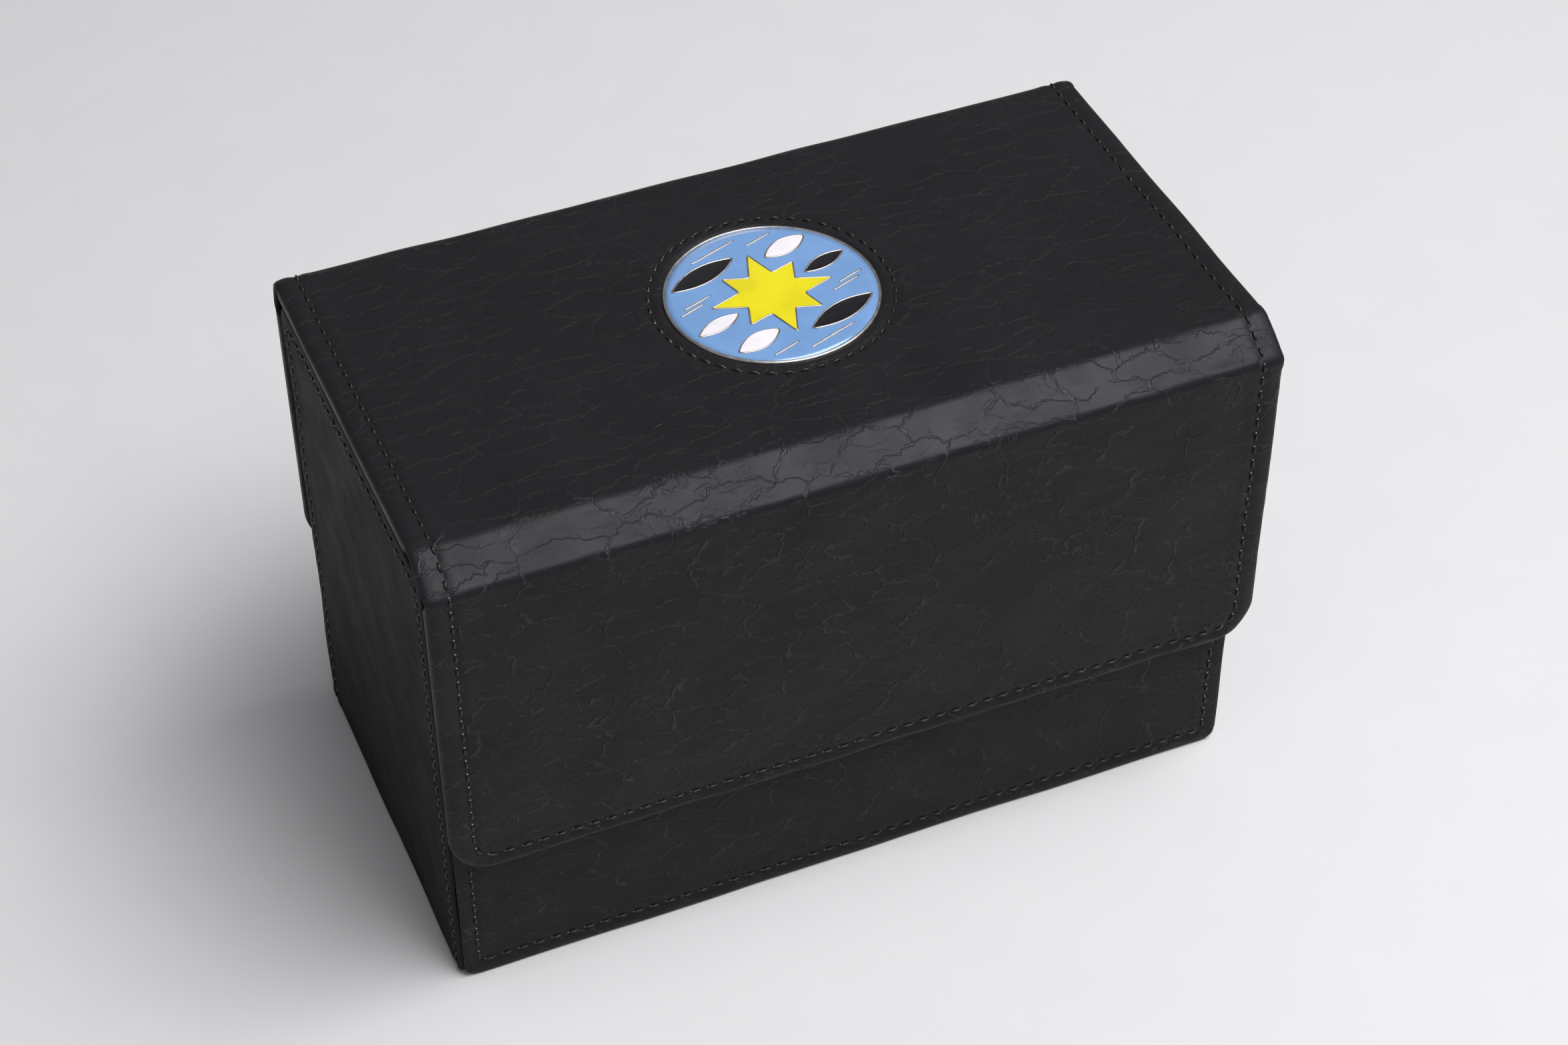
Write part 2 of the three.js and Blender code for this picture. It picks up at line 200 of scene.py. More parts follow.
class Slab:
    """A rounded slab: an outer grid, an inner grid, and rings of points round the edge.

    Columns run across, symmetric about 0, and rows run along. The edge profiles give, for each
    ring, how far it is drawn in, how deep it lies below the outer face, and the share of the
    thickness that is added to that depth. `place` takes across, along and depth, and gives points.
    """

    def __init__(self, across, along, radii, side_edge, low_edge, high_edge):
        self.across, self.along, self.radii = across, along, radii
        self.edges = [np.array(e) for e in (side_edge, low_edge, high_edge)]
        self.reach = max(np.ptp(e[:, 1]) for e in self.edges)
        self.rows, self.columns = len(along), len(across)
        last_row, last_column = self.rows - 1, self.columns - 1
        ring = [(0, j) for j in range(self.columns)]
        ring += [(i, last_column) for i in range(1, self.rows)]
        ring += [(last_row, j) for j in range(last_column - 1, -1, -1)]
        ring += [(i, 0) for i in range(last_row - 1, 0, -1)]
        self.ring = np.array(ring)

    def plan(self, i, j, insets):
        """A grid point's place with the outline drawn in, how far it is on a side, and its half."""
        side, low_inset, high_inset = insets
        x, s = self.across[j], self.along[i]
        low, high, half = self.along[0], self.along[-1], self.across[-1]
        radius = np.interp(s, [low + self.radii[0], high - self.radii[1]], self.radii)
        lower = s < (low + high) / 2
        from_end = np.where(lower, s - low, high - s)
        ux = np.clip(np.abs(x) - half + radius, 0, None) / radius
        us = np.clip(radius - from_end, 0, None) / radius
        bent_x = np.where(ux > 0, half - radius + radius * ux * np.sqrt(1 - us * us / 2), np.abs(x))
        bent_end = np.where(us > 0, radius - radius * us * np.sqrt(1 - ux * ux / 2), from_end)
        bent_s = np.where(lower, low + bent_end, high - bent_end)
        length = high - low
        out_x = np.sign(x) * bent_x * (half - side) / half
        out_s = low + low_inset + (bent_s - low) * (length - low_inset - high_inset) / length
        sideness = np.where(us > 0, ux ** 2 / np.maximum(ux ** 2 + us ** 2, 1e-9), 1.0)
        sideness = np.where(ux > 0, sideness, 0.0)
        return out_x, out_s, sideness, lower

    def build(self, place, thickness):
        """The points, quads, the row of each quad, and uv of the whole slab."""
        rows, columns, ring = self.rows, self.columns, self.ring
        i, j = np.divmod(np.arange(rows * columns), columns)
        ri, rj = ring[:, 0], ring[:, 1]
        n, steps, count = len(ring), len(self.edges[0]) - 1, rows * columns
        points, coords = [], []
        for step in range(steps + 1):
            profile = [edge[step] for edge in self.edges]
            on_grid = step in (0, steps)
            a, b = (i, j) if on_grid else (ri, rj)
            x, s, sideness, lower = self.plan(a, b, [p[0] for p in profile])
            end_depth = np.where(lower, profile[1][1], profile[2][1])
            end_share = np.where(lower, profile[1][2], profile[2][2])
            depth = sideness * profile[0][1] + (1 - sideness) * end_depth
            share = sideness * profile[0][2] + (1 - sideness) * end_share
            if on_grid:
                depth, share = np.zeros(len(x)), np.full(len(x), float(step > 0))
            thick = thickness(s)
            depth = depth * np.minimum(1, thick / self.reach)
            points.append(place(x, s, depth + share * thick, share))
            coords.append(np.stack([x, s], 1))
        base = count + (steps - 1) * n
        p = np.arange(n)
        q = (p + 1) % n

        def ring_id(step, at):
            if step in (0, steps):
                return (step > 0) * base + ri[at] * columns + rj[at]
            return count + (step - 1) * n + at

        gi, gj = np.divmod(np.arange((rows - 1) * (columns - 1)), columns - 1)
        a = gi * columns + gj
        outer = np.stack([a, a + 1, a + columns + 1, a + columns], 1)
        quads, quad_rows = [outer, outer[:, ::-1] + base], [gi, gi]
        edge_row = np.minimum(np.minimum(ri[p], ri[q]), rows - 2)
        for step in range(steps):
            quads.append(np.stack([ring_id(step, p), ring_id(step + 1, p), ring_id(step + 1, q),
                                   ring_id(step, q)], 1))
            quad_rows.append(edge_row)
        self.base, self.count, self.steps = base, count, steps
        self.points, self.quads = np.concatenate(points), np.concatenate(quads)
        self.quad_rows, self.uv = np.concatenate(quad_rows), np.concatenate(coords)
        self.normals = vertex_normals(self.points, self.quads)
        return self

    def cap(self, row, facing_up):
        """The faces that close a piece where it is cut along a row."""
        columns, n = self.columns, len(self.ring)
        outer = row * columns + np.arange(columns)
        inner = outer + self.base
        strips = np.stack([outer[:-1], inner[:-1], inner[1:], outer[1:]], 1)
        sides = []
        for column, flip in ((columns - 1, False), (0, True)):
            at = int(np.nonzero((self.ring[:, 0] == row) & (self.ring[:, 1] == column))[0][0])
            chain = [self.count + k * n + at for k in range(self.steps - 1)]
            face = [int(outer[column])] + chain + [int(inner[column])]
            sides.append(face if flip else face[::-1])
        faces = strips.tolist() + sides
        return [f[::-1] for f in faces] if facing_up else faces

    def piece(self, name, material, first=0, last=None):
        """The part of the slab between two rows, as an object with the whole slab's normals."""
        last = self.rows - 1 if last is None else last
        keep = (self.quad_rows >= first) & (self.quad_rows < last)
        faces = self.quads[keep].tolist()
        if first > 0:
            faces += self.cap(first, False)
        if last < self.rows - 1:
            faces += self.cap(last, True)
        used = np.unique(np.concatenate([np.array(f) for f in faces]))
        lookup = np.full(len(self.points), -1)
        lookup[used] = np.arange(len(used))
        faces = [[int(lookup[k]) for k in f] for f in faces]
        return make_object(name, self.points[used], faces, material, self.uv[used],
                           self.normals[used])


def rounded_edge(radius, inner_radius, steps=5):
    """Edge profile: a rounded outer edge, a straight side and a rounded inner edge."""
    angles = np.linspace(0, math.pi / 2, steps + 1)
    outer = [(radius * (1 - math.sin(a)), radius * (1 - math.cos(a)), 0) for a in angles]
    inner = [(inner_radius * (1 - math.cos(a)), -inner_radius * (1 - math.sin(a)), 1)
             for a in np.linspace(0, math.pi / 2, 4)]
    return outer + inner


def mitred_edge(radius, thickness, total):
    """Edge profile: a rounding into a 45 degree mitre that runs in to the inner face."""
    tangent = radius / math.tan(math.pi / 8)
    angles = np.linspace(0, 0.75 * math.pi, total - 1)
    outer = [(tangent - radius * math.sin(a), radius * (1 - math.cos(a)), 0) for a in angles]
    return outer + [(thickness, 0, 1)]


# ---- Stitch rows ----

class Row:
    """A row of stitches along a rounded rectangle, mirrored left to right."""

    def __init__(self, half, low, high, radius):
        self.half, self.low, self.high, self.radius = half, low, high, radius
        self.flat = half - radius
        self.side = high - low - 2 * radius
        arc = math.pi * radius / 2
        self.length = 2 * (self.flat + arc) + self.side
        self.count = round(self.length / STITCH_PITCH)
        self.pitch = self.length / self.count
        self.bounds = np.cumsum([0, self.flat, arc, self.side, arc, self.flat])

    def field(self, x, s):
        """How far a point is from the row, and where along the row it is."""
        lower = s < (self.low + self.high) / 2
        end = np.where(lower, s - self.low, self.high - s)
        qx, qs = np.abs(x) - self.flat, self.radius - end
        both = (qx > 0) & (qs > 0)
        away = np.where(both, np.hypot(qx, qs) - self.radius, np.maximum(qx, qs) - self.radius)
        turned = self.flat + self.radius * np.arctan2(np.maximum(qx, 1e-9), np.maximum(qs, 1e-9))
        straight = np.where(qx > qs, self.bounds[2] + end - self.radius, np.abs(x))
        run = np.where(both, turned, straight)
        return np.abs(away), np.where(lower, run, self.length - run)

    def at(self, run):
        """Across and along at a distance along the right half of the row."""
        b, r = self.bounds, self.radius
        mirror = run > self.length / 2
        d = self.length - run if mirror else run
        if d <= b[1]:
            x, end = d, 0.0
        elif d <= b[2]:
            angle = (d - b[1]) / r
            x, end = self.flat + r * math.sin(angle), r * (1 - math.cos(angle))
        else:
            x, end = self.half, r + d - b[2]
        return x, (self.high - end if mirror else self.low + end)

    def stitches(self):
        """The points along every stitch, first on the right half and then on the left."""
        for side in (1, -1):
            for k in range(self.count):
                middle = (k + 0.5) * self.pitch
                spots = [self.at(middle + t * STITCH_LENGTH)
                         for t in np.linspace(-0.5, 0.5, STITCH_POINTS)]
                yield [(side * x, s) for x, s in spots]


class Ring:
    """The round row of stitches about the medallion."""

    def __init__(self, centre, radius, count):
        self.centre, self.radius, self.count = centre, radius, count
        self.pitch = 2 * math.pi * radius / count

    def field(self, x, s):
        dx, ds = x - self.centre[0], s - self.centre[1]
        return np.abs(np.hypot(dx, ds) - self.radius), np.arctan2(ds, dx) * self.radius

    def stitches(self):
        half = STITCH_LENGTH / self.radius / 2
        for k in range(self.count):
            middle = (k + 0.5) * 2 * math.pi / self.count
            yield [(self.centre[0] + self.radius * math.cos(a),
                    self.centre[1] + self.radius * math.sin(a))
                   for a in np.linspace(middle - half, middle + half, STITCH_POINTS)]


GROOVE_DEPTH = 0.09
HOLE_DEPTH = 0.13
GROOVE_WIDTH = 0.55
SWELL = 0.09  # height of the leather that swells up on both sides of a seam
SWELL_AWAY = 1.7
SWELL_WIDTH = 0.9


def seam_lift(row, x, s):
    """The groove that a row of stitches pulls into the leather, deepest at the needle holes."""
    away, run = row.field(x, s)
    holes = 0.5 + 0.5 * np.cos(2 * math.pi * run / row.pitch)
    groove = -(GROOVE_DEPTH + HOLE_DEPTH * holes ** 2) * hump(away, 0, GROOVE_WIDTH)
    return groove + SWELL * hump(away, SWELL_AWAY, SWELL_WIDTH)


# A stitch's height above the leather and its girth, point by point, as shares of the thread radius.
STITCH_HEIGHTS = (-1.5, -0.2, 0.5, 0.62, 0.5, -0.2, -1.5)
STITCH_GIRTHS = (0.45, 0.9, 1.0, 1.0, 1.0, 0.9, 0.45)
PLY_DEPTH = 0.13
PLY_TURNS = 1.1


def thread_piece(name, row, place, keep=lambda x, s: True):
    """Every stitch of a row whose middle is kept. Its uv runs round the thread and along it."""
    sides, points, faces, uv = THREAD_SIDES, [], [], []
    shares, level = np.linspace(0, 1, STITCH_POINTS), np.zeros(STITCH_POINTS)
    height = THREAD_RADIUS * np.array(STITCH_HEIGHTS)
    girth = THREAD_RADIUS * np.array(STITCH_GIRTHS)
    for spots in row.stitches():
        if not keep(*spots[STITCH_POINTS // 2]):
            continue
        x, s = np.array(spots).T
        centre = place(x, s, -height, level)
        up = place(x, s, -height - 1, level) - centre
        forward = np.gradient(centre, axis=0)
        forward /= np.linalg.norm(forward, axis=1)[:, None]
        across = np.cross(forward, up)
        across /= np.linalg.norm(across, axis=1)[:, None]
        up = np.cross(across, forward)
        first = len(points)
        for k in range(STITCH_POINTS):
            for m in range(sides):
                angle = 2 * math.pi * m / sides
                twist = 1 + PLY_DEPTH * math.cos(2 * (angle - 2 * PLY_TURNS * math.pi * shares[k]))
                ray = math.cos(angle) * across[k] + math.sin(angle) * up[k]
                points.append(centre[k] + girth[k] * twist * ray)
                uv.append((m, shares[k] / MM))
        for k in range(STITCH_POINTS - 1):
            for m in range(sides):
                a, b = first + k * sides + m, first + k * sides + (m + 1) % sides
                faces.append([a, b, b + sides, a + sides])
        last = first + (STITCH_POINTS - 1) * sides
        faces.append([first + m for m in range(sides)][::-1])
        faces.append([last + m for m in range(sides)])
    return make_object(name, np.array(points), faces, thread, uv)


# ---- Materials ----

class Nodes:
    """A material and a short way to build its nodes."""

    def __init__(self, name):
        self.material = bpy.data.materials.new(name)
        self.material.use_nodes = True
        self.tree = self.material.node_tree
        self.tree.nodes.clear()
        self.shader = self.add("ShaderNodeBsdfPrincipled")
        output = self.add("ShaderNodeOutputMaterial")
        self.link(self.shader.outputs["BSDF"], output.inputs["Surface"])

    def add(self, kind, inputs=None, **settings):
        node = self.tree.nodes.new(kind)
        for key, value in settings.items():
            setattr(node, key, value)
        for key, value in (inputs or {}).items():
            self.put(node.inputs[key], value)
        return node

    def link(self, source, target):
        self.tree.links.new(source, target)

    def put(self, socket, value):
        if isinstance(value, bpy.types.NodeSocket):
            self.link(value, socket)
        else:
            socket.default_value = value

    def set(self, **inputs):
        for key, value in inputs.items():
            self.put(self.shader.inputs[key.replace("_", " ")], value)

    def maths(self, operation, a, b=0.0, c=0.0):
        node = self.add("ShaderNodeMath", operation=operation)
        for socket, value in zip(node.inputs, (a, b, c)):
            self.put(socket, value)
        return node.outputs[0]

    def vector(self, operation, a, b=(0, 0, 0)):
        node = self.add("ShaderNodeVectorMath", operation=operation)
        self.put(node.inputs[0], a)
        self.put(node.inputs[1], b)
        return node.outputs[0]

    def scaled(self, source, scale):
        node = self.add("ShaderNodeMapping", {"Vector": source, "Scale": scale})
        return node.outputs[0]

    def surface(self):
        """The piece's own UV map, in metres, so a pattern doesn't slide as the piece bends."""
        return self.add("ShaderNodeUVMap", uv_map="UVMap").outputs[0]

    def warp(self, where, scale, reach):
        """Coordinates pushed about by smooth noise, by up to reach, in millimetres."""
        noise = self.add("ShaderNodeTexNoise", {"Vector": where, "Scale": scale, "Detail": 2.0})
        centred = self.vector("SUBTRACT", noise.outputs["Color"], (0.5, 0.5, 0.5))
        return self.vector("ADD", where, self.vector("MULTIPLY", centred, (reach * 2 * MM,) * 3))

    def noise(self, where, scale, detail=4.0, roughness=0.55, distortion=0.0):
        node = self.add("ShaderNodeTexNoise", {
            "Vector": where, "Scale": scale, "Detail": detail, "Roughness": roughness,
            "Distortion": distortion})
        return node.outputs["Fac"]

    def cracks(self, where, cell, width):
        """Thin lines along the borders of random cells, 1 on a border and 0 inside a cell.

        `cell` is a cell's size in millimetres, across and along.
        """
        node = self.add("ShaderNodeTexVoronoi", {
            "Vector": self.scaled(where, (1 / cell[0], 1 / cell[1], 1)), "Scale": 1 / MM},
            feature="DISTANCE_TO_EDGE", voronoi_dimensions="2D")
        return self.maths("SUBTRACT", 1.0, self.ramp(node.outputs["Distance"], 0.0, width))

    def ramp(self, value, low, high, out_low=0.0, out_high=1.0):
        node = self.add("ShaderNodeMapRange", {
            "Value": value, "From Min": low, "From Max": high, "To Min": out_low,
            "To Max": out_high}, interpolation_type="SMOOTHSTEP")
        return node.outputs[0]

    def mix(self, factor, a, b):
        """A colour between a and b. The node's colour sockets are its inputs 6 and 7."""
        node = self.add("ShaderNodeMix", data_type="RGBA")
        self.put(node.inputs["Factor"], factor)
        self.put(node.inputs[6], a)
        self.put(node.inputs[7], b)
        return node.outputs[2]

    def bump(self, height, distance):
        node = self.add("ShaderNodeBump", {
            "Height": height, "Distance": distance * MM, "Strength": 1.0})
        return node.outputs[0]


def grey(value, warm=0.0, cool=0.0):
    """A grey, with a little more red for warm or more blue for cool."""
    return (value * (1 + warm), value, value * (1 + cool), 1.0)


def times(colour, *factors):
    """A colour made lighter or darker, by one factor or by one for each of red, green and blue."""
    return tuple(c * factor for c, factor in zip(colour[:3], factors * 3)) + (1.0,)


# Leather. Noise scales are in cycles a metre, and line widths are shares of a cell.
PATCH_SCALE, NET_SCALE = 48.0, 210.0  # where short wrinkles lie, and where they break off
LONG_PATCH_SCALE, BREAK_SCALE = 40.0, 160.0  # the same for long creases
PORE_SCALE, LUMP_SCALE = 3000.0, 480.0
SHADE_SCALE, RUB_SCALE = 35.0, 90.0
WRINKLE_WIDTH, CREASE_WIDTH = 0.085, 0.042
LONG_CELL = (1 / 0.36, 1 / 0.42)  # a long crease's cell, as a multiple of a wrinkle's
CALM_FLATTENS, STRETCH_FLATTENS = -0.74, -0.72
PORE_HEIGHT, LEATHER_RELIEF = 0.14, 0.17


def leather(name, tone, roughness, wrinkle, crease, cell, specular, zones=None):
    """Synthetic leather: a fine pore, patches of short wrinkles, and sparse longer creases, whose
    raised ridges carry a painted highlight.

    `zones` gives two masks: where the leather is stretched over a fold, which also carries a
    painted highlight, and where it is calm.
    """
    m = Nodes(name)
    uv = m.surface()
    stretched, calm = zones(m, uv) if zones else (0.0, 0.0)
    bent = m.warp(m.warp(uv, 150.0, 3.2), 700.0, 0.9)
    patches = m.ramp(m.noise(uv, PATCH_SCALE, 3.0), 0.38, 0.60)
    nets = m.ramp(m.noise(bent, NET_SCALE, 2.0), 0.42, 0.58)
    lines = m.maths("MULTIPLY", m.cracks(bent, cell, WRINKLE_WIDTH),
                    m.maths("MULTIPLY", patches, nets))
    long_patches = m.ramp(m.noise(uv, LONG_PATCH_SCALE, 2.0, 0.5, 0.6), 0.32, 0.50)
    breaks = m.ramp(m.noise(uv, BREAK_SCALE, 2.0), 0.28, 0.46)
    long_cell = (cell[0] * LONG_CELL[0], cell[1] * LONG_CELL[1])
    folds = m.maths("MULTIPLY", m.cracks(bent, long_cell, CREASE_WIDTH),
                    m.maths("MULTIPLY", long_patches, breaks))
    pore = m.noise(uv, PORE_SCALE, 2.0, 0.6)
    lumps = m.noise(m.scaled(bent, (0.6, 1.0, 1.0)), LUMP_SCALE, 3.0, 0.6)
    height = m.maths("MULTIPLY", lines, wrinkle)
    height = m.maths("MULTIPLY_ADD", folds, crease, height)
    height = m.maths("MULTIPLY_ADD", lumps, wrinkle + 0.06, height)
    height = m.maths("MULTIPLY", height, m.maths("MULTIPLY_ADD", calm, CALM_FLATTENS, 1.0))
    height = m.maths("MULTIPLY", height, m.maths("MULTIPLY_ADD", stretched, STRETCH_FLATTENS, 1.0))
    height = m.maths("MULTIPLY_ADD", pore, PORE_HEIGHT, height)
    shade = m.ramp(m.noise(uv, SHADE_SCALE, 3.0), 0.3, 0.7)
    colour = m.mix(shade, tone, times(tone, 1.18))
    # Painted highlight: the stretched strips are painted lighter and a little violet.
    colour = m.mix(stretched, colour, times(tone, 1.36, 1.22, 1.40))
    # Painted highlight: the raised wrinkle ridges are painted lighter, and less so on the calm lid.
    ridge_highlight_level = min(0.85, 0.55 * crease)
    shown = m.maths("MULTIPLY_ADD", calm, -0.86 * ridge_highlight_level, ridge_highlight_level)
    raised = m.maths("MAXIMUM", folds, m.maths("MULTIPLY", lines, 0.5))
    colour = m.mix(m.maths("MULTIPLY", raised, shown), colour, times(tone, 3.2))
    rough = m.ramp(m.noise(uv, RUB_SCALE, 4.0), 0.25, 0.75, roughness - 0.05, roughness + 0.07)
    rough = m.maths("MULTIPLY_ADD", m.maths("SUBTRACT", pore, 0.5), 0.12, rough)
    rough = m.maths("MULTIPLY_ADD", stretched, -0.05, rough)
    m.set(Base_Color=colour, Roughness=rough, Normal=m.bump(height, LEATHER_RELIEF))
    m.set(Specular_IOR_Level=specular)
    return m.material


def felt(name, tone):
    """Short-napped cloth, brushed along the piece."""
    m = Nodes(name)
    uv = m.surface()
    nap = m.noise(uv, 2200.0, 3.0, 0.7)
    brushed = m.noise(m.scaled(uv, (1, 0.2, 1)), 1300.0, 3.0, 0.6)
    height = m.maths("MULTIPLY_ADD", brushed, 0.7, nap)
    light = times(tone, 1.9)
    colour = m.mix(m.ramp(height, 0.6, 1.1), tone, light)
    m.set(Base_Color=colour, Roughness=0.95, Normal=m.bump(height, 0.12))
    m.set(Sheen_Weight=0.10, Sheen_Roughness=0.5)
    return m.material


def thread_material():
    """Black bonded thread, with a painted glint in light grey at one end of each stitch, where it
    turns down into its hole.
    """
    m = Nodes("thread")
    where = m.add("ShaderNodeTexCoord").outputs["Object"]
    along = m.add("ShaderNodeSeparateXYZ", {"Vector": m.surface()}).outputs["Y"]
    # Painted glint: the last stretch of each stitch is painted light grey as a highlight.
    painted_glint = m.ramp(along, 0.80, 0.90)
    fibre = m.noise(where, 6000.0, 3.0, 0.7)
    colour = m.mix(fibre, grey(0.003), grey(0.010))
    m.set(Base_Color=m.mix(painted_glint, colour, grey(0.42)), Normal=m.bump(fibre, 0.04))
    m.set(Roughness=0.27, Specular_IOR_Level=0.4)
    return m.material


def enamel(name, colour, deep):
    """Glossy enamel that clouds from its colour to a deeper one."""
    m = Nodes(name)
    where = m.add("ShaderNodeTexCoord").outputs["Object"]
    cloud = m.noise(where, 130.0, 3.0)
    ripple = m.noise(where, 260.0, 2.0)
    m.set(Base_Color=m.mix(m.ramp(cloud, 0.35, 0.65), deep, colour), Normal=m.bump(ripple, 0.05))
    m.set(Roughness=m.ramp(cloud, 0.3, 0.7, 0.07, 0.12))
    m.set(Coat_Weight=0.5, Coat_Roughness=0.04)
    return m.material


def metal():
    """Dull polished nickel with rubbed patches."""
    m = Nodes("medallion_metal")
    where = m.add("ShaderNodeTexCoord").outputs["Object"]
    rub = m.noise(where, 900.0, 4.0, 0.65)
    m.set(Base_Color=m.mix(rub, (0.40, 0.375, 0.365, 1), (0.56, 0.53, 0.52, 1)), Metallic=1.0)
    m.set(Roughness=m.ramp(rub, 0.3, 0.7, 0.3, 0.46), Normal=m.bump(rub, 0.012))
    return m.material


COVER_TONE = grey(0.0092, warm=0.02, cool=0.14)
SIDE_TONE = grey(0.0105, cool=0.10)
COVER_CELL, SIDE_CELL = (4.6, 2.2), (5.4, 3.2)
wall_leather = leather("wall_leather", COVER_TONE, 0.50, 0.8, 1.5, COVER_CELL, 0.13)
side_leather = leather("side_leather", SIDE_TONE, 0.60, 0.05, 0.2, SIDE_CELL, 0.05)
lining = felt("lining", grey(0.0075, cool=0.06))
thread = thread_material()
enamel_blue = enamel("enamel_blue", (0.16, 0.30, 0.56, 1), (0.145, 0.275, 0.52, 1))
enamel_yellow = enamel("enamel_yellow", (0.72, 0.63, 0.006, 1), (0.64, 0.55, 0.005, 1))
enamel_black = enamel("enamel_black", (0.006, 0.006, 0.007, 1), (0.004, 0.004, 0.005, 1))
enamel_white = enamel("enamel_white", (0.80, 0.76, 0.80, 1), (0.72, 0.68, 0.73, 1))
nickel = metal()


# ---- The cover: one sheet, from the flap's lower edge to the back panel's lower edge ----

FOLD_STEPS = 24

class Fold:
    """The cover's outer face in section, as straight runs joined by round folds."""

    def __init__(self, corners, radii):
        corners = np.array(corners, float)
        self.creases, length, cursor = [], 0.0, corners[0]
        knots, angles, places = [], [], []
        for k, radius in enumerate(radii, 1):
            before, after = corners[k] - corners[k - 1], corners[k + 1] - corners[k]
            entering = math.atan2(before[1], before[0])
            bend = entering - math.atan2(after[1], after[0])
            cutback = radius * math.tan(bend / 2)
            start = corners[k] - before / np.linalg.norm(before) * cutback
            run = np.linalg.norm(start - cursor)
            knots += [length, length + run]
            angles += [entering, entering]
            places += [cursor, start]
            length += run
            centre = start + np.array([math.sin(entering), -math.cos(entering)]) * radius
            for step in range(1, FOLD_STEPS):
                angle = entering - bend * step / FOLD_STEPS
                places.append(centre + np.array([-math.sin(angle), math.cos(angle)]) * radius)
                knots.append(length + radius * bend * step / FOLD_STEPS)
                angles.append(angle)
            self.creases.append(length + radius * bend / 2)
            length += radius * bend
            cursor = corners[k] + after / np.linalg.norm(after) * cutback
        direction = corners[-1] - cursor
        angle = math.atan2(direction[1], direction[0])
        self.length = length + np.linalg.norm(direction)
        self.knots = np.array(knots + [length, self.length])
        self.angles = np.array(angles + [angle, angle])
        self.places = np.array(places + [cursor, corners[-1]])

    def point(self, s):
        """The place of the outer face at s, and its outward normal, as y, z and y, z."""
        y = np.interp(s, self.knots, self.places[:, 0])
        z = np.interp(s, self.knots, self.places[:, 1])
        angle = np.interp(s, self.knots, self.angles)
        return y, z, -np.sin(angle), np.cos(angle)


FOLD_RADII = (1.8, 3.2, 2.2, 3.0)
fold = Fold(
    [(-COVER_Y, flap_low[2]), (-COVER_Y, FRONT_CREASE_Z), (LID_FRONT_Y, LID_TOP),
     (LID_BACK_Y, LID_TOP), (COVER_Y, BACK_CREASE_Z), (COVER_Y, back_low[2])], FOLD_RADII)
S_FLAP, S_FRONT, S_LID, S_BACK = fold.creases
S_END = fold.length


def cover_zones(m, uv):
    """Masks of the strips, where the leather is stretched and carries a painted highlight, and of
    the lid, where it is calm.
    """
    along = m.add("ShaderNodeSeparateXYZ", {"Vector": uv}).outputs["Y"]

    def band(start, rise, end, fall):
        up = m.ramp(along, start * MM, (start + rise) * MM)
        down = m.ramp(along, end * MM, (end + fall) * MM)
        return m.maths("MULTIPLY", up, m.maths("SUBTRACT", 1.0, down))
    front_strip = band(S_FLAP - 0.8, 1.2, S_FRONT - 1.8, 3.6)
    back_strip = band(S_LID - 2, 3, S_BACK - 1, 3)
    return m.maths("MAXIMUM", front_strip, back_strip), band(S_FRONT - 2, 6, S_LID - 3, 4)


cover_leather = leather("cover_leather", COVER_TONE, 0.46, 0.9, 1.9, COVER_CELL, 0.145,
                        cover_zones)
LID_MIDDLE = S_FRONT + (COIN[1] - LID_FRONT_Y)

cover_row = Row(HALF_WIDTH - COVER_STITCH, COVER_END_STITCH, S_END - COVER_END_STITCH,
                CORNER_RADIUS - COVER_STITCH)
coin_ring = Ring((COIN[0], LID_MIDDLE), RING_RADIUS, RING_STITCHES)


def cover_thickness(s):
    """Thick in the stiff panels and thin in the soft strips."""
    front = smooth(s, S_FLAP - 3.4, S_FLAP - 2.0) * (1 - smooth(s, S_FRONT + 1.8, S_FRONT + 3.2))
    back = smooth(s, S_LID - 3.2, S_LID - 1.8) * (1 - smooth(s, S_BACK + 1.2, S_BACK + 2.6))
    return COVER - (COVER - STRIP) * np.maximum(front, back)


FRONT_BELLY, BACK_BELLY = 0.06, 0.25  # how far the soft strips bulge
SEAT_DEPTH, LIP_HEIGHT = 0.5, 0.16  # the leather dips under the medallion and rises round it
ROLL_AWAY, ROLL_WIDTH = 1.7, 0.9  # the turned-in edges, which stand up a little
COVER_END_ROLL, COVER_SIDE_ROLL, WALL_ROLL = 0.26, 0.1, 0.2
RING_REACH = 40


def belly(x, s, start, end, seed):
    """A bulge between two creases, of uneven height along the strip."""
    across = np.clip((s - start) / (end - start), 0, 1)
    return np.sin(math.pi * across) * (1 + 0.3 * waves(x, s, 40, seed))


